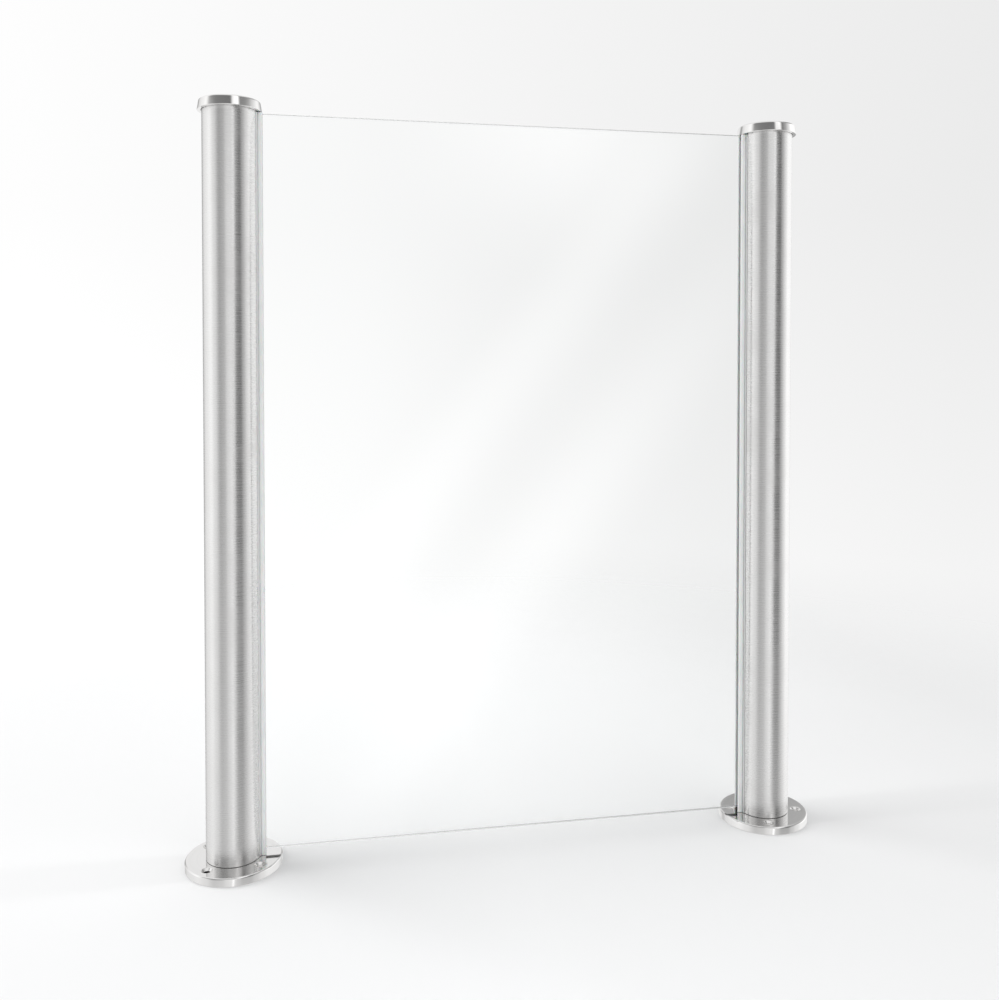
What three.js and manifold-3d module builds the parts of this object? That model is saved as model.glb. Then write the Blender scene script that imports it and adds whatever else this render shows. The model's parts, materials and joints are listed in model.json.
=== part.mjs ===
// Sneeze guard for a food counter: one clear glass pane held on edge between two slotted steel posts.
// Millimetres, +Z up. The origin is on the counter, midway between the posts, and +X runs along the glass.
import * as THREE from "three";
import { mergeVertices } from "three/addons/utils/BufferGeometryUtils.js";
import Module from "manifold-3d";

const wasm = await Module();
wasm.setup();

// Driving dimensions
const TOTAL_HEIGHT = 711.2;
const POST_SPACING = 532;
const TUBE_RADIUS = 25.4;
const TUBE_WALL = 2;
const FLANGE_RADIUS = 44.5;
const FLANGE_THICKNESS = 8;
const CAP_RADIUS = 29.5;
const CAP_HEIGHT = 9.5;
const GLASS_THICKNESS = 6;
const GLASS_EDGE_DEPTH = 12; // the pane's edge stands this far from each post's axis
const ROD_RADIUS = 3; // M6 stud
const FIT = 0.3; // clearance between pieces that touch

// Post and slot
const TUBE_BORE = TUBE_RADIUS - TUBE_WALL;
const PLUG_RADIUS = TUBE_BORE - FIT;
const SLOT_HALF = 8.4;
const TUBE_BOTTOM = FLANGE_THICKNESS + FIT;
const CAP_UNDERSIDE = TOTAL_HEIGHT - CAP_HEIGHT;
const CAP_SKIRT = 0.5; // how far the cap's skirt reaches down round the tube's end
const TUBE_TOP = CAP_UNDERSIDE + CAP_SKIRT;

// Glazing channel, gaskets, glass
const CHANNEL_HALF = SLOT_HALF - FIT;
const CHANNEL_WALL = 1.5;
const EDGE_CLEARANCE = 1.9; // between the pane's edge and the channel's floor
const CHANNEL_BACK = GLASS_EDGE_DEPTH - EDGE_CLEARANCE - CHANNEL_WALL;
const CHANNEL_FRONT = 25; // just inside the tube's outer surface
const CHANNEL_TOP = CAP_UNDERSIDE - 0.4;
const GASKET_OUTER = CHANNEL_HALF - CHANNEL_WALL - FIT;
const GASKET_INNER = GLASS_THICKNESS / 2 + FIT;
const GASKET_REACH = 29.5; // the lips stand out of the slot up to here
const GASKET_LIP_RADIUS = 1.2;
const BLOCK_HEIGHT = 4;
const BLOCK_TOP = TUBE_BOTTOM + BLOCK_HEIGHT;
const GLASS_BOTTOM = BLOCK_TOP + FIT;
const GLASS_TOP = CAP_UNDERSIDE - 0.7;
const GLASS_ARRIS = 0.6;

// Plugs, cap and fasteners
const NOTCH_DEPTH = CHANNEL_BACK - FIT;
const CLEAR_RADIUS = ROD_RADIUS + FIT;
const BASE_PLUG_HEIGHT = 14;
const BASE_PLUG_TOP = TUBE_BOTTOM + BASE_PLUG_HEIGHT;
const TOP_SPIGOT = 14;
const TOP_SHOULDER = 3.7;
const SHOULDER_BOTTOM = TUBE_TOP + FIT;
const SHOULDER_TOP = SHOULDER_BOTTOM + TOP_SHOULDER;
const SHOULDER_RADIUS = 24.8;
const GROOVE_RADIUS = 23.8;
const GROOVE_HALF = 1.1;
const STRIP_OUTER = 25.5;
const STRIP_CLEARANCE = 0.2;
const RECESS_RADIUS = TUBE_RADIUS + 0.4;
const WASHER_RADIUS = 6;
const WASHER_THICKNESS = 1.6;
const NUT_FLATS = 10;
const NUT_THICKNESS = 5;
const NUT_CHAMFER = 0.5;
const COUNTERBORE_RADIUS = 6.8;
const COUNTERBORE_DEPTH = 12.3;
const COUNTERBORE_FLOOR = SHOULDER_TOP - COUNTERBORE_DEPTH;
const ROD_BOTTOM = 1;
const ROD_TOP = SHOULDER_TOP - 1.5;

// Flange screw holes: four countersunk holes, empty until the guard is fixed to a counter.
// The two flanges are turned differently about their posts.
const HOLE_CIRCLE = 33.5; // radius of the circle through the holes' centres
const HOLE_RADIUS = 3;
const SINK_RADIUS = 5.2;
const LEFT_HOLE_TURN = THREE.MathUtils.degToRad(48);
const RIGHT_HOLE_TURN = THREE.MathUtils.degToRad(75);

const ROUND_STEPS = 40;
const SMALL_STEPS = 16;
const EDGE_STEPS = 2;

const steel = { color: 0xc3c3c1, roughness: 0.32, metalness: 1 };
const polished = { color: 0xd2d2d0, roughness: 0.16, metalness: 1 };
const turned = { color: 0xb5b6b8, roughness: 0.4, metalness: 1 };
const fastener = { color: 0xa9aaac, roughness: 0.35, metalness: 1 };
const aluminium = { color: 0xb9babb, roughness: 0.45, metalness: 1 };
const vinyl = { color: 0xd5d8d7, roughness: 0.5, metalness: 0 };
const neoprene = { color: 0x1c1c1c, roughness: 0.8, metalness: 0 };
const nitrile = { color: 0x141414, roughness: 0.7, metalness: 0 };
const clear = { color: 0xe3efea, roughness: 0.03, metalness: 0, transparent: true, opacity: 0.3 };

function toSolid(geometry) {
  const bare = geometry.clone();
  bare.deleteAttribute("normal");
  bare.deleteAttribute("uv");
  const merged = mergeVertices(bare, 1e-3);
  return new wasm.Manifold(
    new wasm.Mesh({
      numProp: 3,
      vertProperties: merged.attributes.position.array,
      triVerts: new Uint32Array(merged.index.array),
    }),
  );
}

function toGeometry(solid) {
  const mesh = solid.getMesh();
  const geometry = new THREE.BufferGeometry();
  geometry.setAttribute("position", new THREE.BufferAttribute(mesh.vertProperties, 3));
  geometry.setIndex(new THREE.BufferAttribute(mesh.triVerts, 1));
  return geometry;
}

function cut(geometry, cutters) {
  return toGeometry(cutters.reduce((solid, cutter) => solid.subtract(toSolid(cutter)), toSolid(geometry)));
}

function piece(name, geometry, finish) {
  const mesh = new THREE.Mesh(geometry, new THREE.MeshStandardMaterial(finish));
  mesh.name = name;
  return mesh;
}

// A profile of [radius, height] points turned about +Z; the list runs anticlockwise seen with +Z up.
function turn(profile, steps = ROUND_STEPS) {
  const points = profile.map(([radius, height]) => new THREE.Vector2(radius, height));
  return new THREE.LatheGeometry(points, steps).rotateX(Math.PI / 2);
}

// A box from its lowest to its highest corner.
function block(low, high) {
  const size = high.map((value, i) => value - low[i]);
  const middle = high.map((value, i) => (value + low[i]) / 2);
  return new THREE.BoxGeometry(...size).translate(...middle);
}

// A flat outline raised along +Z from one height to another.
function raise(shape, bottom, top, curveSegments = ROUND_STEPS) {
  return new THREE.ExtrudeGeometry(shape, {
    depth: top - bottom,
    bevelEnabled: false,
    curveSegments,
  }).translate(0, 0, bottom);
}

// A quarter-round edge, as profile points about a centre.
function roundedCorner(radius, height, rounding, startAngle) {
  return Array.from({ length: EDGE_STEPS + 1 }, (_, i) => {
    const angle = startAngle + (i / EDGE_STEPS) * (Math.PI / 2);
    return [radius + rounding * Math.cos(angle), height + rounding * Math.sin(angle)];
  });
}

// A ring with a gap of the given half width on its +X side.
function openRing(outer, inner, gapHalf) {
  const outerGap = Math.asin(gapHalf / outer);
  const innerGap = Math.asin(gapHalf / inner);
  const shape = new THREE.Shape();
  shape.absarc(0, 0, outer, outerGap, 2 * Math.PI - outerGap, false);
  shape.absarc(0, 0, inner, 2 * Math.PI - innerGap, innerGap, true);
  shape.closePath();
  return shape;
}

function postTube() {
  return raise(openRing(TUBE_RADIUS, TUBE_BORE, SLOT_HALF), TUBE_BOTTOM, TUBE_TOP);
}

function baseFlange(holeTurn) {
  const topRounding = 1.5;
  const bottomChamfer = 0.6;
  const disc = turn([
    [CLEAR_RADIUS, 0],
    [FLANGE_RADIUS - bottomChamfer, 0],
    [FLANGE_RADIUS, bottomChamfer],
    ...roundedCorner(FLANGE_RADIUS - topRounding, FLANGE_THICKNESS - topRounding, topRounding, 0),
    [CLEAR_RADIUS, FLANGE_THICKNESS],
    [CLEAR_RADIUS, 0],
  ]);
  const past = 1; // cutters run past the faces they open
  const sinkDepth = SINK_RADIUS - HOLE_RADIUS;
  const hole = turn(
    [
      [0, -past],
      [HOLE_RADIUS, -past],
      [HOLE_RADIUS, FLANGE_THICKNESS - sinkDepth],
      [SINK_RADIUS + past, FLANGE_THICKNESS + past],
      [0, FLANGE_THICKNESS + past],
    ],
    SMALL_STEPS,
  );
  const holes = [0, 1, 2, 3].map((quarter) =>
    hole.clone().translate(HOLE_CIRCLE, 0, 0).rotateZ(holeTurn + (quarter * Math.PI) / 2),
  );
  return cut(disc, holes);
}

// Clears the channel, and lets the pane through, in a plug between two heights.
function notch(bottom, top) {
  return block([NOTCH_DEPTH, -SLOT_HALF, bottom - 1], [TUBE_RADIUS + 2, SLOT_HALF, top + 1]);
}

function basePlug() {
  const chamfer = 1;
  const body = turn([
    [CLEAR_RADIUS, TUBE_BOTTOM],
    [PLUG_RADIUS, TUBE_BOTTOM],
    [PLUG_RADIUS, BASE_PLUG_TOP - chamfer],
    [PLUG_RADIUS - chamfer, BASE_PLUG_TOP],
    [CLEAR_RADIUS, BASE_PLUG_TOP],
    [CLEAR_RADIUS, TUBE_BOTTOM],
  ]);
  return cut(body, [notch(TUBE_BOTTOM, BASE_PLUG_TOP)]);
}

function topPlug() {
  const chamfer = 1;
  const spigotBottom = TUBE_TOP - TOP_SPIGOT;
  const grooveMiddle = (SHOULDER_BOTTOM + SHOULDER_TOP) / 2;
  const body = turn([
    [CLEAR_RADIUS, spigotBottom],
    [PLUG_RADIUS - chamfer, spigotBottom],
    [PLUG_RADIUS, spigotBottom + chamfer],
    [PLUG_RADIUS, SHOULDER_BOTTOM],
    [SHOULDER_RADIUS, SHOULDER_BOTTOM],
    [SHOULDER_RADIUS, grooveMiddle - GROOVE_HALF],
    [GROOVE_RADIUS, grooveMiddle - GROOVE_HALF],
    [GROOVE_RADIUS, grooveMiddle + GROOVE_HALF],
    [SHOULDER_RADIUS, grooveMiddle + GROOVE_HALF],
    [SHOULDER_RADIUS, SHOULDER_TOP],
    [COUNTERBORE_RADIUS, SHOULDER_TOP],
    [COUNTERBORE_RADIUS, COUNTERBORE_FLOOR],
    [CLEAR_RADIUS, COUNTERBORE_FLOOR],
    [CLEAR_RADIUS, spigotBottom],
  ]);
  return cut(body, [notch(spigotBottom, SHOULDER_TOP)]);
}

// A band in the top plug's groove, open over the notch so that the pane can pass.
function gripStrip() {
  const middle = (SHOULDER_BOTTOM + SHOULDER_TOP) / 2;
  const half = GROOVE_HALF - STRIP_CLEARANCE;
  const ring = openRing(STRIP_OUTER, GROOVE_RADIUS + STRIP_CLEARANCE, SLOT_HALF + 1);
  return raise(ring, middle - half, middle + half);
}

// A disc with a rounded top edge, hollow below to push over the top plug.
function cap() {
  const topRounding = 2.6;
  const rimChamfer = 0.5;
  const ceiling = SHOULDER_TOP + FIT;
  return turn([
    [0, ceiling],
    [RECESS_RADIUS, ceiling],
    [RECESS_RADIUS, CAP_UNDERSIDE],
    [CAP_RADIUS - rimChamfer, CAP_UNDERSIDE],
    [CAP_RADIUS, CAP_UNDERSIDE + rimChamfer],
    ...roundedCorner(CAP_RADIUS - topRounding, TOTAL_HEIGHT - topRounding, topRounding, 0),
    [0, TOTAL_HEIGHT],
  ]);
}

function tieRod() {
  const chamfer = 0.6;
  return turn(
    [
      [0, ROD_BOTTOM],
      [ROD_RADIUS - chamfer, ROD_BOTTOM],
      [ROD_RADIUS, ROD_BOTTOM + chamfer],
      [ROD_RADIUS, ROD_TOP - chamfer],
      [ROD_RADIUS - chamfer, ROD_TOP],
      [0, ROD_TOP],
    ],
    SMALL_STEPS,
  );
}

function washer(bottom) {
  const top = bottom + WASHER_THICKNESS;
  return turn(
    [
      [CLEAR_RADIUS, bottom],
      [WASHER_RADIUS, bottom],
      [WASHER_RADIUS, top],
      [CLEAR_RADIUS, top],
      [CLEAR_RADIUS, bottom],
    ],
    SMALL_STEPS,
  );
}

// A hexagon nut with two flats square to +X, its corners turned off at both faces.
function nut(bottom) {
  const top = bottom + NUT_THICKNESS;
  const corner = NUT_FLATS / Math.sqrt(3);
  const hexagon = new THREE.Shape(
    Array.from({ length: 6 }, (_, i) => {
      const angle = Math.PI / 6 + (i * Math.PI) / 3;
      return new THREE.Vector2(corner * Math.cos(angle), corner * Math.sin(angle));
    }),
  );
  const barrelRadius = corner + 0.1;
  const barrel = turn(
    [
      [CLEAR_RADIUS, bottom],
      [corner - NUT_CHAMFER, bottom],
      [barrelRadius, bottom + NUT_CHAMFER],
      [barrelRadius, top - NUT_CHAMFER],
      [corner - NUT_CHAMFER, top],
      [CLEAR_RADIUS, top],
      [CLEAR_RADIUS, bottom],
    ],
    SMALL_STEPS,
  );
  return toGeometry(toSolid(raise(hexagon, bottom, top)).intersect(toSolid(barrel)));
}

// A U open towards the glass, pressed into the tube's slot.
function glazingChannel() {
  const inner = CHANNEL_HALF - CHANNEL_WALL;
  const shape = new THREE.Shape();
  shape.moveTo(CHANNEL_BACK, -CHANNEL_HALF);
  shape.lineTo(CHANNEL_FRONT, -CHANNEL_HALF);
  shape.lineTo(CHANNEL_FRONT, -inner);
  shape.lineTo(CHANNEL_BACK + CHANNEL_WALL, -inner);
  shape.lineTo(CHANNEL_BACK + CHANNEL_WALL, inner);
  shape.lineTo(CHANNEL_FRONT, inner);
  shape.lineTo(CHANNEL_FRONT, CHANNEL_HALF);
  shape.lineTo(CHANNEL_BACK, CHANNEL_HALF);
  shape.closePath();
  return raise(shape, TUBE_BOTTOM, CHANNEL_TOP);
}

// One strip between channel wall and glass, with a rounded lip outside the slot; side is 1 or -1 along Y.
function gasket(side) {
  const back = CHANNEL_BACK + CHANNEL_WALL + FIT;
  const tip = GASKET_REACH - GASKET_LIP_RADIUS;
  const shape = new THREE.Shape();
  shape.moveTo(back, GASKET_INNER);
  shape.lineTo(tip, GASKET_INNER);
  shape.absarc(tip, GASKET_INNER + GASKET_LIP_RADIUS, GASKET_LIP_RADIUS, -Math.PI / 2, 0, false);
  shape.absarc(tip, GASKET_OUTER - GASKET_LIP_RADIUS, GASKET_LIP_RADIUS, 0, Math.PI / 2, false);
  shape.lineTo(back, GASKET_OUTER);
  shape.closePath();
  const strip = raise(shape, TUBE_BOTTOM, CHANNEL_TOP, EDGE_STEPS);
  return side > 0 ? strip : strip.translate(0, -GASKET_INNER - GASKET_OUTER, 0);
}

// The pane's lower corner stands on it, between the channel's walls.
function settingBlock() {
  const half = GASKET_INNER - FIT;
  return block(
    [CHANNEL_BACK + CHANNEL_WALL + FIT, -half, TUBE_BOTTOM],
    [GASKET_REACH - 1, half, BLOCK_TOP],
  );
}

// The pane, with the arrises of its top and bottom edges ground off.
function glassPane() {
  const half = GLASS_THICKNESS / 2;
  const shape = new THREE.Shape();
  shape.moveTo(-half, GLASS_BOTTOM + GLASS_ARRIS);
  shape.lineTo(-half + GLASS_ARRIS, GLASS_BOTTOM);
  shape.lineTo(half - GLASS_ARRIS, GLASS_BOTTOM);
  shape.lineTo(half, GLASS_BOTTOM + GLASS_ARRIS);
  shape.lineTo(half, GLASS_TOP - GLASS_ARRIS);
  shape.lineTo(half - GLASS_ARRIS, GLASS_TOP);
  shape.lineTo(-half + GLASS_ARRIS, GLASS_TOP);
  shape.lineTo(-half, GLASS_TOP - GLASS_ARRIS);
  shape.closePath();
  const width = POST_SPACING - 2 * GLASS_EDGE_DEPTH;
  const pane = new THREE.ExtrudeGeometry(shape, { depth: width, bevelEnabled: false });
  pane.rotateX(Math.PI / 2).rotateZ(Math.PI / 2);
  return pane.translate(-width / 2, 0, 0);
}

// One post about its own axis, with its slot facing +X; front is the sign of Y on the customer's side.
function post(side, holeTurn, front) {
  const group = new THREE.Group();
  const add = (name, geometry, finish) => group.add(piece(`${side}_${name}`, geometry, finish));
  add("post_tube", postTube(), steel);
  add("base_flange", baseFlange(holeTurn), polished);
  add("base_plug", basePlug(), turned);
  add("base_washer", washer(BASE_PLUG_TOP + FIT), fastener);
  add("base_nut", nut(BASE_PLUG_TOP + WASHER_THICKNESS + 2 * FIT), fastener);
  add("tie_rod", tieRod(), fastener);
  add("top_plug", topPlug(), turned);
  add("top_washer", washer(COUNTERBORE_FLOOR + FIT), fastener);
  add("top_nut", nut(COUNTERBORE_FLOOR + WASHER_THICKNESS + 2 * FIT), fastener);
  add("cap_grip_strip", gripStrip(), nitrile);
  add("cap", cap(), polished);
  add("glazing_channel", glazingChannel(), aluminium);
  add("gasket_front", gasket(front), vinyl);
  add("gasket_rear", gasket(-front), vinyl);
  add("setting_block", settingBlock(), neoprene);
  return group;
}

const sneezeGuard = new THREE.Group();

const leftPost = post("left", LEFT_HOLE_TURN, -1);
leftPost.position.x = -POST_SPACING / 2;

const rightPost = post("right", RIGHT_HOLE_TURN, 1);
rightPost.position.x = POST_SPACING / 2;
rightPost.rotation.z = Math.PI;

sneezeGuard.add(leftPost, rightPost, piece("glass_pane", glassPane(), clear));

export default sneezeGuard;
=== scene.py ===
"""Looks for the counter sneeze guard: fine meshes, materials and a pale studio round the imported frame.

Metres, +Z up. Every visible piece is rebuilt finely in the place of its CAD node, about its own post's axis.
"""

import json
import math

import bmesh
import bpy
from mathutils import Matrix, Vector


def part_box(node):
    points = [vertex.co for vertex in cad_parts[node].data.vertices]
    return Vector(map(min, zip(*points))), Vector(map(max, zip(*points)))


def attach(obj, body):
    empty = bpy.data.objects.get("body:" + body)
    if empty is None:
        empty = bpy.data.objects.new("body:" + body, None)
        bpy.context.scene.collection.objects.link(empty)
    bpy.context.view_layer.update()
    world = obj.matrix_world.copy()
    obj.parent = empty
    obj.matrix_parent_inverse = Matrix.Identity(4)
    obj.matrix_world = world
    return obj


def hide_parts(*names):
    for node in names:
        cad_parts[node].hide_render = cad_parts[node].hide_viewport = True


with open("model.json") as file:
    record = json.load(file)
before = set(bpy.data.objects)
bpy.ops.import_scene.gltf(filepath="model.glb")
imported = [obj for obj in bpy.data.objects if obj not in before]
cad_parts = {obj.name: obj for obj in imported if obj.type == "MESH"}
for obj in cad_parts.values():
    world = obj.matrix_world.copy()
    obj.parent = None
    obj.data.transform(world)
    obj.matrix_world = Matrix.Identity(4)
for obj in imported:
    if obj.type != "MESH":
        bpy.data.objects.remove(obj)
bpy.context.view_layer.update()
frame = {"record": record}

MM = 0.001

# Sizes that the frame's boxes don't show, the same as in the CAD source
FIT = 0.3 * MM
TUBE_WALL = 2.0 * MM
SLOT_HALF = 8.4 * MM
CHANNEL_WALL = 1.5 * MM
NOTCH_DEPTH = 8.3 * MM
SCREW_HOLE = 3.0 * MM
SCREW_SINK = 5.2 * MM
ROD_CLEARANCE = 3.3 * MM
CAP_RECESS = 25.8 * MM
CAP_CEILING = 5.0 * MM  # from the top plug's top up to the cap's
SHOULDER_HEIGHT = 3.7 * MM
SHOULDER_RADIUS = 24.8 * MM
GROOVE_RADIUS = 23.8 * MM
GROOVE_HALF = 1.1 * MM
COUNTERBORE_RADIUS = 6.8 * MM
COUNTERBORE_DEPTH = 12.3 * MM
STRIP_GAP_HALF = 9.4 * MM

# Finer shapes that the CAD source leaves plain
CAP_ROUNDING = 2.0 * MM
CAP_DRAFT = 1.5 * MM  # how far the cap's side leans in towards its top
THREAD_PITCH = 1.0 * MM
THREAD_DEPTH = 0.55 * MM
THREAD_LENGTH = 32.0 * MM

ROUND = 192  # steps round a large circle
SMALL_ROUND = 64  # steps round a small one
SMOOTH_BELOW = math.radians(32)

VINYL_DARK = (0.86, 0.885, 0.88, 1)
VINYL_LIGHT = (0.93, 0.945, 0.94, 1)
EDGE_GREEN = (0.93, 0.985, 0.965, 1)  # the glass where its edges are ground
GLASS_TINT = (0.72, 0.93, 0.86, 1)  # what the glass leaves of white light, at its density
GLASS_DENSITY = 4.0

# The camera, where it sees the guard as a customer just left of its middle does
CAMERA_PLACE = (-0.1996, -0.9697, 0.4689)
CAMERA_YAW = math.radians(10.94)
CAMERA_PITCH = math.radians(1.27)
CAMERA_LENS = 36.4
CAMERA_SHIFT_Y = -0.1136
CAMERA_CLIP = (0.02, 60)


# --- Outlines and meshes ---


def rounded(corners, closed=True, steps=5):
    """An outline through corners (x, y, rounding), with each corner rounded to its radius."""
    points = []
    for i, (x, y, radius) in enumerate(corners):
        here = Vector((x, y))
        at_end = not closed and i in (0, len(corners) - 1)
        if radius == 0 or at_end:
            points.append(here)
            continue
        before = (Vector(corners[i - 1][:2]) - here).normalized()
        after = (Vector(corners[(i + 1) % len(corners)][:2]) - here).normalized()
        half = before.angle(after) / 2
        centre = here + (before + after).normalized() * (radius / math.sin(half))
        start = here + before * (radius / math.tan(half)) - centre
        end = here + after * (radius / math.tan(half)) - centre
        first = math.atan2(start.y, start.x)
        swing = math.remainder(math.atan2(end.y, end.x) - first, 2 * math.pi)
        for k in range(steps + 1):
            angle = first + swing * k / steps
            points.append(centre + radius * Vector((math.cos(angle), math.sin(angle))))
    return points


def arc(radius, start, end, steps):
    """Points on a circle about the origin, from one angle to another."""
    angles = [start + (end - start) * k / steps for k in range(steps + 1)]
    return [Vector((radius * math.cos(a), radius * math.sin(a))) for a in angles]


def inset(outline, distance):
    """The closed outline, anticlockwise, moved inwards by a distance."""
    moved = []
    for i, here in enumerate(outline):
        before = (here - outline[i - 1]).normalized()
        after = (outline[(i + 1) % len(outline)] - here).normalized()
        inward = Vector((-before.y - after.y, before.x + after.x)).normalized()
        spread = max(0.3, inward.dot(Vector((-after.y, after.x))))
        moved.append(here + inward * (distance / spread))
    return moved


def finish_mesh(bm, name):
    """A mesh from bm, closed, facing out and smooth except at its sharp edges."""
    bmesh.ops.remove_doubles(bm, verts=bm.verts, dist=0.5e-6)
    bmesh.ops.dissolve_degenerate(bm, edges=bm.edges, dist=0.5e-6)
    bmesh.ops.recalc_face_normals(bm, faces=bm.faces)
    mesh = bpy.data.meshes.new(name)
    bm.to_mesh(mesh)
    bm.free()
    smooth(mesh)
    return mesh


def smooth(mesh):
    mesh.shade_smooth()
    mesh.set_sharp_from_angle(angle=SMOOTH_BELOW)


def lathe(name, profile, steps=ROUND):
    """A solid turned about Z. The profile of (radius, height) ends on the axis or closes on itself."""
    bm = bmesh.new()
    on_axis = profile[0][0] < 1e-9
    count = len(profile)
    rings = []
    for i in range(steps):
        angle = 2 * math.pi * i / steps
        turn = (math.cos(angle), math.sin(angle))
        rings.append([bm.verts.new((r * turn[0], r * turn[1], z)) for r, z in profile])
    for i, ring in enumerate(rings):
        following = rings[(i + 1) % steps]
        for j in range(count - 1 if on_axis else count):
            k = (j + 1) % count
            bm.faces.new((ring[j], following[j], following[k], ring[k]))
    return finish_mesh(bm, name)


def prism(name, outline, bottom, top, edge=0.25 * MM, steps=3):
    """A solid of one outline, anticlockwise, raised along Z, with both ends' edges rounded."""
    levels = []
    for k in range(steps + 1):
        angle = math.pi / 2 * k / steps
        levels.append((edge * (1 - math.sin(angle)), edge * (1 - math.cos(angle))))
    bm = bmesh.new()
    rings = []
    for inward, height in levels:
        rings.append([bm.verts.new((p.x, p.y, bottom + height)) for p in inset(outline, inward)])
    for inward, height in reversed(levels):
        rings.append([bm.verts.new((p.x, p.y, top - height)) for p in inset(outline, inward)])
    for lower, upper in zip(rings, rings[1:]):
        for i in range(len(lower)):
            k = (i + 1) % len(lower)
            bm.faces.new((lower[i], lower[k], upper[k], upper[i]))
    bm.faces.new(reversed(rings[0]))
    bm.faces.new(rings[-1])
    return finish_mesh(bm, name)


def threaded_stud(name, bottom, top, radius):
    """A round bar with a helical thread on each end and a plain shank between."""
    crest = [0.0, 0.5, 1.0, 1.0, 0.5, 0.0]  # the thread's height along one pitch
    rows = len(crest)
    steps = 36
    core = radius - THREAD_DEPTH
    run_out = THREAD_PITCH

    def threads(low, high):
        turns = math.ceil((high - low) / THREAD_PITCH) + 1
        levels = []
        for row in range(-rows, turns * rows):
            ring = []
            for i in range(steps):
                height = low + (row / rows + i / steps) * THREAD_PITCH
                fade = min(1.0, max(0.0, (height - low) / run_out), max(0.0, (high - height) / run_out))
                out = core + THREAD_DEPTH * crest[row % rows] * fade
                ring.append((out, min(high, max(low, height))))
            levels.append(ring)
        return levels

    lower = threads(bottom, bottom + THREAD_LENGTH)
    upper = threads(top - THREAD_LENGTH, top)
    shank_start = [(radius, bottom + THREAD_LENGTH)] * steps
    shank_end = [(radius, top - THREAD_LENGTH)] * steps
    levels = lower + [shank_start, shank_end] + upper
    bm = bmesh.new()
    rings = []
    for level in levels:
        ring = []
        for i, (r, z) in enumerate(level):
            angle = 2 * math.pi * i / steps
            ring.append(bm.verts.new((r * math.cos(angle), r * math.sin(angle), z)))
        rings.append(ring)
    for low_ring, high_ring in zip(rings, rings[1:]):
        for i in range(steps):
            k = (i + 1) % steps
            bm.faces.new((low_ring[i], low_ring[k], high_ring[k], high_ring[i]))
    bm.faces.new(reversed(rings[0]))
    bm.faces.new(rings[-1])
    return finish_mesh(bm, name)


def boolean(mesh, tool, operation):
    """The mesh joined, cut or crossed with the tool mesh."""
    body = bpy.data.objects.new("body", mesh)
    other = bpy.data.objects.new("tool", tool)
    for ob in (body, other):
        bpy.context.scene.collection.objects.link(ob)
    modifier = body.modifiers.new("boolean", "BOOLEAN")
    modifier.operation = operation
    modifier.solver = "EXACT"
    modifier.object = other
    evaluated = body.evaluated_get(bpy.context.evaluated_depsgraph_get())
    made = bpy.data.meshes.new_from_object(evaluated)
    made.name = mesh.name
    bpy.data.objects.remove(body)
    bpy.data.objects.remove(other)
    smooth(made)
    return made


def block(name, low, high, rounding, segments=3, profile=0.5):
    """A box between two corners, all its edges rounded."""
    bm = bmesh.new()
    bmesh.ops.create_cube(bm, size=1.0)
    for vert in bm.verts:
        vert.co = Vector(a + (b - a) * (c + 0.5) for a, b, c in zip(low, high, vert.co))
    bmesh.ops.bevel(bm, geom=bm.edges, offset=rounding, segments=segments, profile=profile, affect="EDGES")
    return finish_mesh(bm, name)


# --- Pieces of one post, about its own axis, with the slot facing +X ---


class Post:
    """One side's post: where it stands, which way its slot faces, and boxes of its nodes."""

    def __init__(self, side, facing):
        self.side = side
        self.facing = facing
        low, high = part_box(f"{side}_base_flange")
        self.axis = (low.x + high.x) / 2

    def heights(self, part):
        low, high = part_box(f"{self.side}_{part}")
        return low.z, high.z

    def radius(self, part):
        low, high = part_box(f"{self.side}_{part}")
        return (high.y - low.y) / 2

    def reach(self, part):
        """The nearest and furthest distance of a node from the axis, towards the glass."""
        low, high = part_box(f"{self.side}_{part}")
        ends = [(low.x - self.axis) * self.facing, (high.x - self.axis) * self.facing]
        return min(ends), max(ends)

    def screw_holes(self):
        """The screw holes' centres about the axis, from the record's openings."""
        centres = []
        for opening in frame["record"]["physics"]["openings"]:
            if opening["name"].startswith(f"{self.side}_screw_hole"):
                low, high = opening["box_m"]
                x = ((low[0] + high[0]) / 2 - self.axis) * self.facing
                y = (low[1] + high[1]) / 2 * self.facing
                centres.append((x, y))
        return centres


def tube_mesh(post):
    outer = post.radius("post_tube")
    inner = outer - TUBE_WALL
    bottom, top = post.heights("post_tube")
    rounding = 0.45 * MM
    outer_gap = math.asin(SLOT_HALF / outer)
    inner_gap = math.asin(SLOT_HALF / inner)
    keep = rounding / outer
    outline = arc(outer, outer_gap + keep, 2 * math.pi - outer_gap - keep, ROUND)
    outline += slot_edge(outer, inner, -1, rounding)
    outline += arc(inner, 2 * math.pi - inner_gap - keep, inner_gap + keep, ROUND)
    outline += slot_edge(outer, inner, 1, rounding)
    return prism("post_tube", outline, bottom, top, edge=0.3 * MM)


def slot_edge(outer, inner, side, rounding):
    """The rounded edge of the tube's wall at one side of the slot, without its first and last point."""
    far = math.sqrt(outer**2 - SLOT_HALF**2)
    near = math.sqrt(inner**2 - SLOT_HALF**2)
    y = side * SLOT_HALF
    outside = (far, y)
    inside = (near, y)
    past_outer = arc(outer, math.atan2(y, far) + side * 0.1, 0, 1)[0]
    past_inner = arc(inner, math.atan2(y, near) + side * 0.1, 0, 1)[0]
    corners = [(*past_outer, 0), (*outside, rounding), (*inside, rounding), (*past_inner, 0)]
    points = rounded(corners, closed=False, steps=4)[1:-1]
    return points if side < 0 else list(reversed(points))


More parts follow.
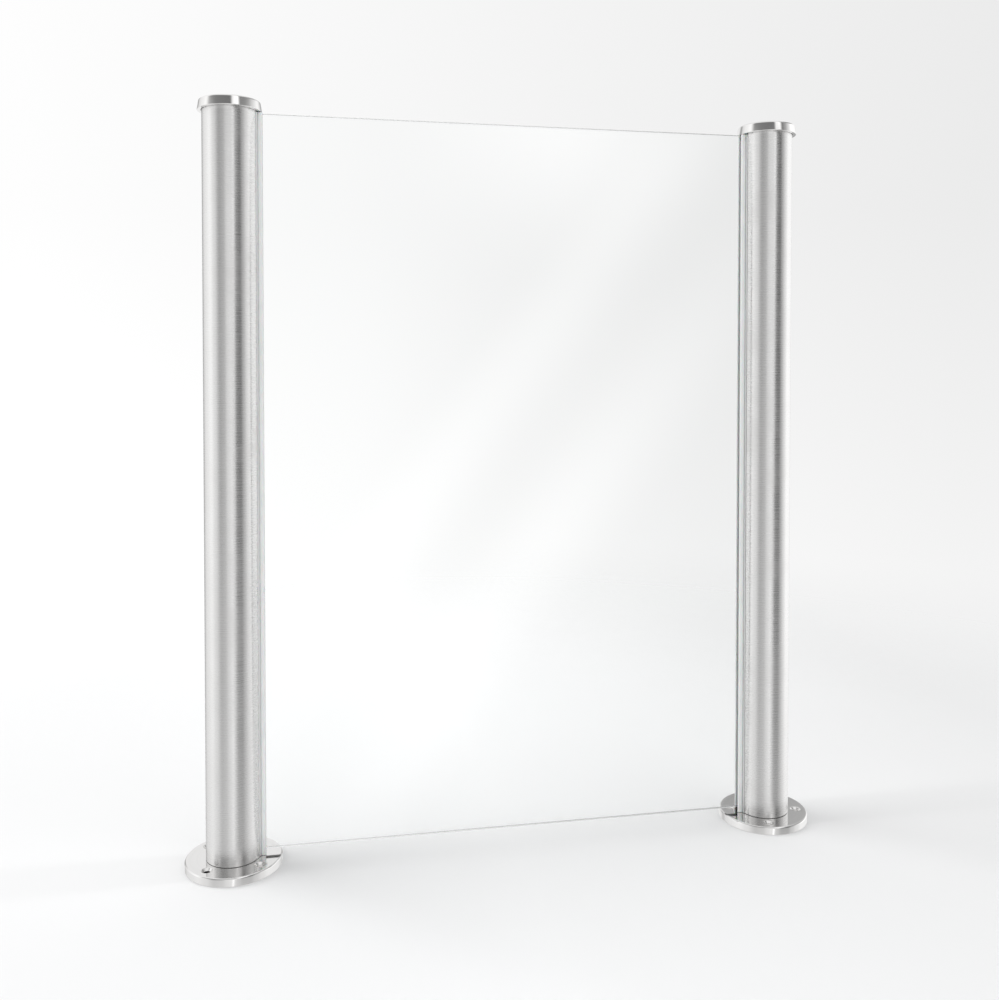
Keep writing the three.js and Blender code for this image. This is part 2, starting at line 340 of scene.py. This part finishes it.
def flange_mesh(post):
    radius = post.radius("base_flange")
    bottom, top = post.heights("base_flange")
    profile = rounded(
        [
            (ROD_CLEARANCE, bottom, 0.3 * MM),
            (radius, bottom, 0.5 * MM),
            (radius, top, 1.5 * MM),
            (ROD_CLEARANCE, top, 0.3 * MM),
        ],
        steps=6,
    )
    mesh = lathe("base_flange", profile)
    for x, y in post.screw_holes():
        tool = screw_hole_tool(bottom, top)
        for vert in tool.vertices:
            vert.co += Vector((x, y, 0))
        mesh = boolean(mesh, tool, "DIFFERENCE")
    return mesh


def screw_hole_tool(bottom, top):
    """A countersunk hole as a solid, with its mouth eased into the flange's top face."""
    sink = SCREW_SINK - SCREW_HOLE
    past = 2 * MM
    ease = 0.35 * MM
    corners = [
        (0, bottom - past, 0),
        (SCREW_HOLE + ease, bottom - past, 0),
        (SCREW_HOLE + ease, bottom, 0),
        (SCREW_HOLE, bottom + ease, 0.2 * MM),
        (SCREW_HOLE, top - sink, 0.4 * MM),
        (SCREW_SINK - ease, top - ease, 0.3 * MM),
        (SCREW_SINK + ease, top, 0),
        (SCREW_SINK + ease, top + past, 0),
        (0, top + past, 0),
    ]
    return lathe("screw_hole", rounded(corners, closed=False, steps=4), SMALL_ROUND)


def cap_mesh(post):
    radius = post.radius("cap")
    bottom, top = post.heights("cap")
    ceiling = top - CAP_CEILING + FIT
    corners = [
        (0, ceiling, 0),
        (CAP_RECESS, ceiling, 0.6 * MM),
        (CAP_RECESS, bottom, 0.3 * MM),
        (radius, bottom, 0.5 * MM),
        (radius - CAP_DRAFT, top, CAP_ROUNDING),
        (0, top, 0),
    ]
    return lathe("cap", rounded(corners, closed=False, steps=8))


def plug_mesh(name, corners, bottom, top):
    """A turned plug with the notch that clears the glazing channel."""
    mesh = lathe(name, rounded(corners, steps=4))
    past = 5 * MM
    low = (NOTCH_DEPTH, -SLOT_HALF, bottom - past)
    high = (NOTCH_DEPTH + 40 * MM, SLOT_HALF, top + past)
    return boolean(mesh, block("notch", low, high, 0.8 * MM), "DIFFERENCE")


def base_plug_mesh(post):
    bottom, top = post.heights("base_plug")
    radius = post.radius("base_plug")
    corners = [
        (ROD_CLEARANCE, bottom, 0.3 * MM),
        (radius, bottom, 0.3 * MM),
        (radius, top, 1.0 * MM),
        (ROD_CLEARANCE, top, 0.3 * MM),
    ]
    return plug_mesh("base_plug", corners, bottom, top)


def top_plug_mesh(post):
    bottom, top = post.heights("top_plug")
    shoulder = top - SHOULDER_HEIGHT
    groove = (shoulder + top) / 2
    spigot = post.radius("post_tube") - TUBE_WALL - FIT
    small = 0.15 * MM
    corners = [
        (ROD_CLEARANCE, bottom, 0.3 * MM),
        (spigot, bottom, 1.0 * MM),
        (spigot, shoulder, 0),
        (SHOULDER_RADIUS, shoulder, small),
        (SHOULDER_RADIUS, groove - GROOVE_HALF, small),
        (GROOVE_RADIUS, groove - GROOVE_HALF, small),
        (GROOVE_RADIUS, groove + GROOVE_HALF, small),
        (SHOULDER_RADIUS, groove + GROOVE_HALF, small),
        (SHOULDER_RADIUS, top, 0.4 * MM),
        (COUNTERBORE_RADIUS, top, 0.4 * MM),
        (COUNTERBORE_RADIUS, top - COUNTERBORE_DEPTH, 0.3 * MM),
        (ROD_CLEARANCE, top - COUNTERBORE_DEPTH, 0.3 * MM),
    ]
    return plug_mesh("top_plug", corners, bottom, top)


def washer_mesh(post, part):
    bottom, top = post.heights(part)
    radius = post.radius(part)
    corners = [
        (ROD_CLEARANCE, bottom, 0.1 * MM),
        (radius, bottom, 0.15 * MM),
        (radius, top, 0.45 * MM),
        (ROD_CLEARANCE, top, 0.35 * MM),
    ]
    return lathe(part, rounded(corners, steps=4), SMALL_ROUND)


def nut_mesh(post, part):
    """A hexagon nut: a prism crossed with a barrel that takes off its corners."""
    bottom, top = post.heights(part)
    low, high = post.reach(part)
    flats = high - low
    corner = flats / math.sqrt(3)
    ease = 0.12 * MM
    hexagon = []
    for k in range(6):
        angle = math.pi / 6 + k * math.pi / 3
        hexagon.append((corner * math.cos(angle), corner * math.sin(angle), ease))
    body = prism(part, rounded(hexagon, steps=3), bottom, top, edge=0.05 * MM, steps=1)
    chamfer = 0.55 * MM
    mouth = 0.45 * MM
    barrel = [
        (ROD_CLEARANCE + mouth, bottom, 0),
        (corner - 2 * chamfer, bottom, 0),
        (corner + ease, bottom + chamfer * 1.3, 0.3 * MM),
        (corner + ease, top - chamfer * 1.3, 0.3 * MM),
        (corner - 2 * chamfer, top, 0),
        (ROD_CLEARANCE + mouth, top, 0),
        (ROD_CLEARANCE, top - mouth, 0),
        (ROD_CLEARANCE, bottom + mouth, 0),
    ]
    return boolean(body, lathe("barrel", rounded(barrel, steps=3), SMALL_ROUND), "INTERSECT")


def strip_mesh(post):
    """The grip strip: a soft band with rounded edges and a gap over the notch."""
    outer = post.radius("cap_grip_strip")
    inner = GROOVE_RADIUS + 0.2 * MM
    bottom, top = post.heights("cap_grip_strip")
    outer_gap = math.asin(STRIP_GAP_HALF / outer)
    inner_gap = math.asin(STRIP_GAP_HALF / inner)
    outline = arc(outer, outer_gap, 2 * math.pi - outer_gap, ROUND)
    outline += arc(inner, 2 * math.pi - inner_gap, inner_gap, ROUND)
    return prism("cap_grip_strip", outline, bottom, top, edge=0.5 * MM, steps=5)


def channel_mesh(post):
    """The U-shaped glazing channel, the edges of its back and lips eased."""
    back, front = post.reach("glazing_channel")
    half = post.radius("glazing_channel")
    inner = half - CHANNEL_WALL
    bottom, top = post.heights("glazing_channel")
    edge = 0.25 * MM
    upper = [
        (back + CHANNEL_WALL, inner, 0.5 * MM),
        (front, inner, edge),
        (front, half, 0.6 * MM),
        (back, half, 0.8 * MM),
    ]
    lower = [(x, -y, r) for x, y, r in reversed(upper)]
    return prism("glazing_channel", rounded(lower + upper, steps=4), bottom, top, edge=0.15 * MM)


def gasket_mesh(post, part, sign):
    """One glazing gasket: three ribs on each face, and a round lip that stands out of the slot."""
    back, front = post.reach(part)
    low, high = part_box(f"{post.side}_{part}")
    glass_side = min(abs(low.y), abs(high.y))
    wall_side = max(abs(low.y), abs(high.y))
    bottom, top = post.heights(part)
    lip = 1.1 * MM
    fin = 0.45 * MM
    shoulder = back + 15.2 * MM
    ribs = range(3)
    corners = [(back, glass_side + fin, 0.2 * MM)]
    for k in ribs:
        start = back + (3.0 + 4.6 * k) * MM
        corners += [
            (start, glass_side + fin, 0.15 * MM),
            (start + 0.6 * MM, glass_side, 0.18 * MM),
            (start + 1.5 * MM, glass_side + fin, 0.15 * MM),
        ]
    corners += [
        (front - 3.2 * MM, glass_side + fin, 0.3 * MM),
        (front - 2.4 * MM, glass_side, 0.4 * MM),
        (front, glass_side, lip),
        (front, wall_side, 1.3 * MM),
        (shoulder, wall_side, 0.2 * MM),
        (shoulder, wall_side - fin, 0.15 * MM),
    ]
    for k in ribs:
        start = back + (12.4 - 4.4 * k) * MM
        corners += [
            (start, wall_side - fin, 0.15 * MM),
            (start - 0.5 * MM, wall_side, 0.18 * MM),
            (start - 1.4 * MM, wall_side - fin, 0.15 * MM),
        ]
    corners.append((back, wall_side - fin, 0.2 * MM))
    if sign < 0:
        corners = [(x, -y, r) for x, y, r in reversed(corners)]
    return prism(part, rounded(corners, steps=5), bottom, top, edge=0.1 * MM, steps=2)


def setting_block_mesh(post):
    back, front = post.reach("setting_block")
    half = post.radius("setting_block")
    bottom, top = post.heights("setting_block")
    return block("block", (back, -half, bottom), (front, half, top), 0.5 * MM)


def rod_mesh(post):
    bottom, top = post.heights("tie_rod")
    return threaded_stud("tie_rod", bottom, top, post.radius("tie_rod"))


def pane_mesh():
    """The pane, its edges ground and polished."""
    low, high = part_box("glass_pane")
    return block("glass_pane", low, high, 0.6 * MM, segments=2, profile=0.6)


# --- Materials ---


class Shader:
    """A material's node tree, with short ways to add nodes and link them."""

    def __init__(self, name):
        self.material = bpy.data.materials.new(name)
        self.material.use_nodes = True
        self.tree = self.material.node_tree
        self.surface = self.tree.nodes["Principled BSDF"]

    def add(self, kind, inputs=None, **settings):
        node = self.tree.nodes.new(kind)
        for key, value in settings.items():
            setattr(node, key, value)
        for key, value in (inputs or {}).items():
            self.feed(node.inputs[key], value)
        return node

    def feed(self, socket, value):
        if isinstance(value, bpy.types.NodeSocket):
            self.tree.links.new(value, socket)
        else:
            socket.default_value = value

    def set(self, **values):
        for key, value in values.items():
            self.feed(self.surface.inputs[key.replace("_", " ")], value)

    def place(self):
        return self.add("ShaderNodeTexCoord").outputs["Object"]

    def stretched(self, vector, scale):
        return self.add("ShaderNodeMapping", {"Vector": vector, "Scale": scale}).outputs["Vector"]

    def noise(self, vector, scale, detail=2.0, roughness=0.5):
        inputs = {"Vector": vector, "Scale": scale, "Detail": detail, "Roughness": roughness}
        return self.add("ShaderNodeTexNoise", inputs).outputs["Fac"]

    def between(self, value, low, high, from_low=0.3, from_high=0.7):
        inputs = {"Value": value, "From Min": from_low, "From Max": from_high, "To Min": low, "To Max": high}
        return self.add("ShaderNodeMapRange", inputs).outputs["Result"]

    def math(self, operation, a, b=0.0):
        node = self.add("ShaderNodeMath", operation=operation)
        self.feed(node.inputs[0], a)
        self.feed(node.inputs[1], b)
        return node.outputs[0]

    def mix(self, factor, a, b):
        node = self.add("ShaderNodeMix", data_type="RGBA")
        self.feed(node.inputs[0], factor)
        self.feed(node.inputs[6], a)
        self.feed(node.inputs[7], b)
        return node.outputs[2]

    def bump(self, height, strength, distance):
        inputs = {"Height": height, "Strength": strength, "Distance": distance}
        return self.add("ShaderNodeBump", inputs).outputs["Normal"]


def grey(level, warmth=0.0):
    return (level * (1 + warmth), level, level * (1 - warmth), 1)


def radial(shader, vector):
    """The distance from the post's axis, as a vector that noise can read as rings."""
    split = shader.add("ShaderNodeSeparateXYZ", {"Vector": vector})
    x, y, z = split.outputs
    square = shader.math("ADD", shader.math("MULTIPLY", x, x), shader.math("MULTIPLY", y, y))
    distance = shader.math("SQRT", square)
    join = shader.add("ShaderNodeCombineXYZ", {"X": distance, "Z": z})
    return join.outputs["Vector"]


def brushed(name, level, roughness, grain, lines, warmth=0.0, contrast=0.05, spread=0.0):
    """Metal with fine machining lines and a faint handled look. grain is rings, turned or along.

    spread is how far the lines smear a reflection along the post.
    """
    shader = Shader(name)
    place = shader.place()
    scales = {"rings": (18, 18, lines), "turned": (lines, 1, lines), "along": (lines, lines, 6)}
    base = radial(shader, place) if grain == "turned" else place
    fine = shader.noise(shader.stretched(base, scales[grain]), 1.0, 3.0, 0.6)
    broad = shader.noise(shader.stretched(base, tuple(scale / 9 for scale in scales[grain])), 1.0, 2.0)
    cloud = shader.noise(place, 22.0, 3.0, 0.55)
    speck = shader.noise(place, 900.0, 2.0, 0.6)
    lined = shader.math("ADD", shader.math("MULTIPLY", fine, 0.65), shader.math("MULTIPLY", broad, 0.35))
    rough = shader.math("ADD", shader.between(lined, roughness * 0.7, roughness * 1.35),
                        shader.between(cloud, 0.0, roughness * 0.35, 0.45, 0.75))
    dark = grey(level * (1 - contrast), warmth)
    light = grey(min(1, level * (1 + contrast)), warmth)
    tone = shader.mix(shader.between(lined, 0, 1), dark, light)
    tint = shader.mix(shader.between(cloud, 0, 0.35), tone, grey(level * 0.97, warmth + 0.01))
    height = shader.math("ADD", lined, shader.math("MULTIPLY", speck, 0.25))
    lines_bump = shader.bump(height, 0.2, 0.004 * MM)
    shader.set(Base_Color=tint, Metallic=1.0, Roughness=rough, Normal=lines_bump)
    if spread:
        tangent = shader.add("ShaderNodeTangent", direction_type="RADIAL", axis="Z").outputs["Tangent"]
        shader.set(Tangent=tangent, Anisotropic=spread, Anisotropic_Rotation=0.25)
    return shader.material


def rubber(name, level, roughness):
    """Matt elastomer: a fine moulded skin with a little bloom."""
    shader = Shader(name)
    place = shader.place()
    skin = shader.noise(place, 2600.0, 3.0, 0.65)
    bloom = shader.noise(place, 160.0, 3.0)
    colour = shader.mix(shader.between(bloom, 0, 1), grey(level), grey(level * 1.9 + 0.004))
    rough = shader.between(skin, roughness * 0.85, min(1.0, roughness * 1.15))
    shader.set(Base_Color=colour, Roughness=rough, Normal=shader.bump(skin, 0.5, 0.03 * MM))
    return shader.material


def vinyl(name):
    """Pale translucent glazing gasket with fine extrusion lines."""
    shader = Shader(name)
    place = shader.place()
    lines = shader.noise(shader.stretched(place, (2200, 2200, 9)), 1.0, 2.0)
    cloud = shader.noise(place, 60.0, 3.0)
    colour = shader.mix(shader.between(cloud, 0, 1), VINYL_DARK, VINYL_LIGHT)
    shader.set(
        Base_Color=colour,
        Roughness=shader.between(lines, 0.34, 0.52),
        Normal=shader.bump(lines, 0.4, 0.02 * MM),
        Subsurface_Weight=0.15,
        Subsurface_Scale=0.001,
        IOR=1.5,
    )
    return shader.material


def glass(name):
    """Clear float glass: clear across, pale green through its length and at its ground edges."""
    shader = Shader(name)
    place = shader.place()
    wiped = shader.noise(shader.stretched(place, (5, 5, 16)), 1.0, 4.0, 0.6)
    wave = shader.noise(place, 3.5, 1.0)
    ground = shader.noise(place, 1500.0, 2.0)
    facing = shader.add("ShaderNodeNewGeometry").outputs["True Normal"]
    across = shader.math("ABSOLUTE", shader.add("ShaderNodeSeparateXYZ", {"Vector": facing}).outputs["Y"])
    edge = shader.between(across, 1.0, 0.0, 0.5, 0.9)
    clear = shader.between(wiped, 0.0, 0.012, 0.5, 0.8)
    rough = shader.math("ADD", clear, shader.math("MULTIPLY", edge, shader.between(ground, 0.22, 0.34)))
    shader.set(
        Base_Color=shader.mix(edge, (1, 1, 1, 1), EDGE_GREEN),
        Transmission_Weight=shader.between(edge, 1.0, 0.94, 0, 1),
        IOR=1.52,
        Roughness=rough,
        Normal=shader.bump(wave, 0.02, 0.05 * MM),
    )
    tint = shader.add("ShaderNodeVolumeAbsorption", {"Color": GLASS_TINT, "Density": GLASS_DENSITY})
    output = shader.tree.nodes["Material Output"]
    shader.tree.links.new(tint.outputs["Volume"], output.inputs["Volume"])
    return shader.material


MATERIALS = {
    "satin_stainless": brushed("satin_stainless", 0.76, 0.25, "rings", 5200, 0.004, spread=0.88),
    "polished_stainless": brushed("polished_stainless", 0.80, 0.075, "turned", 4200, 0.006, 0.03),
    "turned_steel": brushed("turned_steel", 0.60, 0.30, "turned", 2600, 0.002, 0.10),
    "zinc_steel": brushed("zinc_steel", 0.64, 0.26, "turned", 1800, -0.012, 0.08),
    "channel_aluminium": brushed("channel_aluminium", 0.84, 0.32, "along", 3000, -0.004, 0.06),
    "gasket_vinyl": vinyl("gasket_vinyl"),
    "neoprene": rubber("neoprene", 0.022, 0.75),
    "nitrile": rubber("nitrile", 0.016, 0.6),
    "clear_glass": glass("clear_glass"),
}
SLOT_OF = {row["node"]: row["material_slot"] for row in frame["record"]["subparts"]}
BODY_OF = {node: body for body, nodes in frame["record"]["behaviour"]["bodies"].items() for node in nodes}


def show(mesh, node, place, turn):
    """Puts a fine mesh in the place of its CAD node."""
    piece = bpy.data.objects.new(f"{node}_fine", mesh)
    bpy.context.scene.collection.objects.link(piece)
    piece.location = place
    piece.rotation_euler.z = turn
    mesh.materials.clear()
    mesh.materials.append(MATERIALS[SLOT_OF[node]])
    weighted = piece.modifiers.new("weighted_normals", "WEIGHTED_NORMAL")
    weighted.keep_sharp = True
    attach(piece, BODY_OF[node])
    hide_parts(node)
    return piece


def build_post(post):
    """Shows every piece of a post. The right post is turned round, so its front and rear change sides."""
    parts = {
        "post_tube": tube_mesh(post),
        "base_flange": flange_mesh(post),
        "base_plug": base_plug_mesh(post),
        "base_washer": washer_mesh(post, "base_washer"),
        "base_nut": nut_mesh(post, "base_nut"),
        "tie_rod": rod_mesh(post),
        "top_plug": top_plug_mesh(post),
        "top_washer": washer_mesh(post, "top_washer"),
        "top_nut": nut_mesh(post, "top_nut"),
        "cap_grip_strip": strip_mesh(post),
        "cap": cap_mesh(post),
        "glazing_channel": channel_mesh(post),
        "gasket_front": gasket_mesh(post, "gasket_front", -post.facing),
        "gasket_rear": gasket_mesh(post, "gasket_rear", post.facing),
        "setting_block": setting_block_mesh(post),
    }
    turn = 0 if post.facing > 0 else math.pi
    for part, mesh in parts.items():
        show(mesh, f"{post.side}_{part}", (post.axis, 0, 0), turn)


for side, facing in (("left", 1), ("right", -1)):
    build_post(Post(side, facing))
pane = show(pane_mesh(), "glass_pane", (0, 0, 0), 0)


# --- Studio ---

# What the metal and glass mirror round the set, as (azimuth in degrees from the customer's side towards +X,
# brightness): at eye level, and in a ring above it that the caps' sides see
STUDIO = [
    (-180, 1.00),
    (-165, 0.95),
    (-150, 0.40),
    (-134, 0.90),
    (-115, 1.05),
    (-88, 1.22),
    (-66, 0.95),
    (-42, 0.45),
    (-26, 0.55),
    (-10, 0.92),
    (2, 0.98),
    (13, 0.52),
    (25, 0.17),
    (42, 0.16),
    (56, 0.55),
    (72, 0.95),
    (92, 1.30),
    (128, 1.15),
    (142, 0.85),
    (155, 0.42),
    (168, 0.85),
    (180, 1.00),
]
UPPER = [
    (-180, 0.90),
    (-120, 1.10),
    (-95, 1.20),
    (-75, 0.25),
    (5, 0.20),
    (18, 1.20),
    (32, 1.50),
    (44, 0.30),
    (108, 0.30),
    (135, 0.80),
    (155, 0.62),
    (180, 0.88),
]
STUDIO_PEAK = 1.6  # the brightness that a ring's ramp holds as 1
COUNTER = 0.84
OVERHEAD = 0.95
COUNTER_BLEND = (-14, -34)  # the elevations over which one part of the studio gives way to the next
UPPER_BLEND = (23, 30)
OVERHEAD_BLEND = (42, 62)
BAND_SLOPE = 1.32  # how steeply the slanted soft lights rise, in elevation per azimuth
BANDS = [(12.1, 4.0, 0.52), (21.2, 4.8, 0.68)]  # (place, half width, brightness) of each slanted light
PATCH_AZIMUTH = (15.0, 12.0)  # (centre, half width) of the soft light that the pane's top mirrors
PATCH_ELEVATION = (14.0, 10.0)
PATCH_LIGHT = 1.3
PANE_AZIMUTH = (11.0, 22.0)  # (centre, half width) of what the pane mirrors to the camera
BACKDROP_LEFT = 0.99
BACKDROP_RIGHT = 0.835
BACKDROP_SPAN = 0.42
BACKDROP_RISE = 0.08  # how much brighter the backdrop is where it meets the floor
BACKDROP_FOOT = (8, -14)  # the elevations over which it brightens
ROOM_LIGHT = 0.785

# The pale counter that the guard stands on
FLOOR_RADII = [0.3, 0.7, 1.2, 2.0, 3.2, 5.0, 8.0]
FLOOR_STEPS = 96
FLOOR_DROP = 0.0002
FLOOR_FADE = (0.3, 1.7)  # where it starts to fade, and where it is gone
FLOOR_SPAN = 0.7
FLOOR_PAINTED_LIGHT_AND_SHADE = [(0.0, 0.82), (0.5, 0.94), (1.0, 0.75)]  # (place from left to right, reflectance): the counter's pale colour with painted shade at the left and right ends and painted light in the middle, standing in for the lamps' falloff and the posts' shadows
FLOOR_CLOUD = 0.86
FLOOR_WARMTH = -0.004

# Soft boxes: place, aim, width, height and watts
AIM = (0, 0, 0.1)
KEY = ((-3.8, 1.3, 3.8), AIM, 3.4, 3.4, 98)
FILL = ((2.7, -3.6, 4.3), AIM, 3.8, 3.8, 24)
OVERHEAD_STRIP = ((0, 0, 2.6), (0, 0, 0), 2.6, 0.08, 9)


class WorldNodes(Shader):
    """The same short calls, on the world's node tree."""

    def __init__(self, world):
        world.use_nodes = True
        self.tree = world.node_tree
        self.surface = self.tree.nodes["Background"]


def soft_edge(nodes, value, centre, half):
    """1 at a centre, falling smoothly to 0 at half from it."""
    away = nodes.math("ABSOLUTE", nodes.math("SUBTRACT", value, centre))
    inputs = {"Value": away, "From Min": half, "From Max": 0.0}
    return nodes.add("ShaderNodeMapRange", inputs, interpolation_type="SMOOTHSTEP").outputs["Result"]


def ring(nodes, around, stops):
    """The brightness of a ring of panels, from its (azimuth, brightness) stops."""
    ramp = nodes.add("ShaderNodeValToRGB", {"Fac": around})
    ramp.color_ramp.interpolation = "EASE"
    elements = ramp.color_ramp.elements
    while len(elements) < len(stops):
        elements.new(0.5)
    for element, (angle, level) in zip(elements, stops):
        element.position = (angle + 180) / 360
        element.color = grey(level / STUDIO_PEAK)
    return nodes.math("MULTIPLY", ramp.outputs["Color"], STUDIO_PEAK)


def blend(nodes, factor, a, b):
    """a where the factor is 0 and b where it is 1."""
    kept = nodes.math("MULTIPLY", nodes.math("SUBTRACT", 1.0, factor), a)
    return nodes.math("ADD", kept, nodes.math("MULTIPLY", factor, b))


def studio_world():
    """A pale room for what is seen and lit, and a set of light and dark panels for what is mirrored."""
    world = bpy.data.worlds.new("studio")
    bpy.context.scene.world = world
    nodes = WorldNodes(world)
    world.cycles.sampling_method = "NONE"
    direction = nodes.add("ShaderNodeTexCoord").outputs["Generated"]
    x, y, z = nodes.add("ShaderNodeSeparateXYZ", {"Vector": direction}).outputs
    azimuth = nodes.math("DEGREES", nodes.math("ARCTAN2", x, nodes.math("MULTIPLY", y, -1.0)))
    elevation = nodes.math("DEGREES", nodes.math("ARCSINE", z))

    around = nodes.between(azimuth, 0, 1, -180, 180)
    panels = ring(nodes, around, STUDIO)
    panels = blend(nodes, nodes.between(elevation, 0, 1, *COUNTER_BLEND), panels, COUNTER)
    panels = blend(nodes, nodes.between(elevation, 0, 1, *UPPER_BLEND), panels, ring(nodes, around, UPPER))
    panels = blend(nodes, nodes.between(elevation, 0, 1, *OVERHEAD_BLEND), panels, OVERHEAD)

    slanted = nodes.math("SUBTRACT", azimuth, nodes.math("DIVIDE", elevation, BAND_SLOPE))
    high_patch = nodes.math("MULTIPLY", soft_edge(nodes, azimuth, *PATCH_AZIMUTH),
                            soft_edge(nodes, elevation, *PATCH_ELEVATION))
    panels = nodes.math("ADD", panels, nodes.math("MULTIPLY", high_patch, PATCH_LIGHT))
    near_pane = soft_edge(nodes, azimuth, *PANE_AZIMUTH)
    for place, half, level in BANDS:
        band = nodes.math("MULTIPLY", soft_edge(nodes, slanted, place, half), level)
        panels = nodes.math("ADD", panels, nodes.math("MULTIPLY", band, near_pane))

    sideways = nodes.math("ADD", nodes.math("MULTIPLY", x, math.cos(CAMERA_YAW)),
                          nodes.math("MULTIPLY", y, -math.sin(CAMERA_YAW)))
    sweep = nodes.between(sideways, BACKDROP_LEFT, BACKDROP_RIGHT, -BACKDROP_SPAN, BACKDROP_SPAN)
    backdrop = nodes.math("ADD", sweep, nodes.between(elevation, 0.0, BACKDROP_RISE, *BACKDROP_FOOT))
    path = nodes.add("ShaderNodeLightPath")
    seen = blend(nodes, path.outputs["Is Diffuse Ray"], backdrop, ROOM_LIGHT)
    bounced = nodes.math("MINIMUM", path.outputs["Glossy Depth"], 1.0)
    mirrored = nodes.math("MULTIPLY", bounced, nodes.math("SUBTRACT", 1.0, path.outputs["Is Diffuse Ray"]))
    light = blend(nodes, mirrored, seen, panels)
    nodes.feed(nodes.surface.inputs["Color"], light)


def area_light(name, place, target, size, size_y, watts):
    lamp = bpy.data.lights.new(name, "AREA")
    lamp.shape = "RECTANGLE"
    lamp.size = size
    lamp.size_y = size_y
    lamp.energy = watts
    ob = bpy.data.objects.new(name, lamp)
    bpy.context.scene.collection.objects.link(ob)
    ob.location = place
    ob.rotation_euler = (Vector(target) - Vector(place)).to_track_quat("-Z", "Y").to_euler()
    ob.visible_glossy = False
    ob.visible_transmission = False
    return ob


def pass_through(lamp, piece):
    """Lets a lamp's light through a clear piece, which would otherwise shade the floor like a solid one."""
    blockers = bpy.data.collections.new(f"{lamp.name}_blockers")
    blockers.objects.link(piece)
    blockers.collection_objects[0].light_linking.link_state = "EXCLUDE"
    lamp.light_linking.blocker_collection = blockers


def floor():
    """A pale sweep that fades into the backdrop far from the guard, with painted light and shade across its
    colour.
    """
    bm = bmesh.new()
    levels = []
    for radius in FLOOR_RADII:
        circle = arc(radius, 0, 2 * math.pi, FLOOR_STEPS)[:-1]
        levels.append([bm.verts.new((point.x, point.y, 0)) for point in circle])
    bm.faces.new(levels[0])
    for inner, outer in zip(levels, levels[1:]):
        for i in range(FLOOR_STEPS):
            k = (i + 1) % FLOOR_STEPS
            bm.faces.new((inner[i], outer[i], outer[k], inner[k]))
    ob = bpy.data.objects.new("floor", finish_mesh(bm, "floor"))
    bpy.context.scene.collection.objects.link(ob)
    ob.location.z = -FLOOR_DROP
    ob.visible_glossy = False
    shader = Shader("floor")
    place = shader.place()
    paper = shader.noise(place, 1400.0, 3.0, 0.6)
    cloud = shader.noise(place, 2.2, 2.0)
    across = shader.add("ShaderNodeSeparateXYZ", {"Vector": place}).outputs["X"]
    place_across = shader.between(across, 0, 1, -FLOOR_SPAN, FLOOR_SPAN)
    # The counter's colour from left to right: painted shade at both ends and painted light in the middle
    sweep = shader.add("ShaderNodeValToRGB", {"Fac": place_across})
    stops = sweep.color_ramp.elements
    stops.new(0.5)
    for stop, (position, level) in zip(stops, FLOOR_PAINTED_LIGHT_AND_SHADE):
        stop.position = position
        stop.color = grey(level, FLOOR_WARMTH)
    cloudy = grey(FLOOR_CLOUD, FLOOR_WARMTH)
    colour = shader.mix(shader.between(cloud, 0, 0.25), sweep.outputs["Color"], cloudy)
    away = shader.add("ShaderNodeVectorMath", {0: place}, operation="LENGTH").outputs["Value"]
    start, end = FLOOR_FADE
    inputs = {"Value": away, "From Min": start, "From Max": end, "To Min": 1.0, "To Max": 0.0}
    fade = shader.add("ShaderNodeMapRange", inputs, interpolation_type="SMOOTHSTEP").outputs["Result"]
    shader.set(Base_Color=colour, Roughness=0.9, Specular_IOR_Level=0.0, Alpha=fade,
               Normal=shader.bump(paper, 0.1, 0.02 * MM))
    ob.data.materials.append(shader.material)


def camera():
    data = bpy.data.cameras.new("camera")
    data.lens = CAMERA_LENS
    data.shift_y = CAMERA_SHIFT_Y
    data.clip_start, data.clip_end = CAMERA_CLIP
    ob = bpy.data.objects.new("camera", data)
    bpy.context.scene.collection.objects.link(ob)
    ob.location = CAMERA_PLACE
    ob.rotation_euler = (math.pi / 2 - CAMERA_PITCH, 0, -CAMERA_YAW)
    bpy.context.scene.camera = ob


studio_world()
floor()
camera()
key = area_light("key", *KEY)
fill = area_light("fill", *FILL)
area_light("overhead", *OVERHEAD_STRIP)
for lamp in (key, fill):
    pass_through(lamp, pane)
bpy.context.scene.view_settings.view_transform = "Standard"
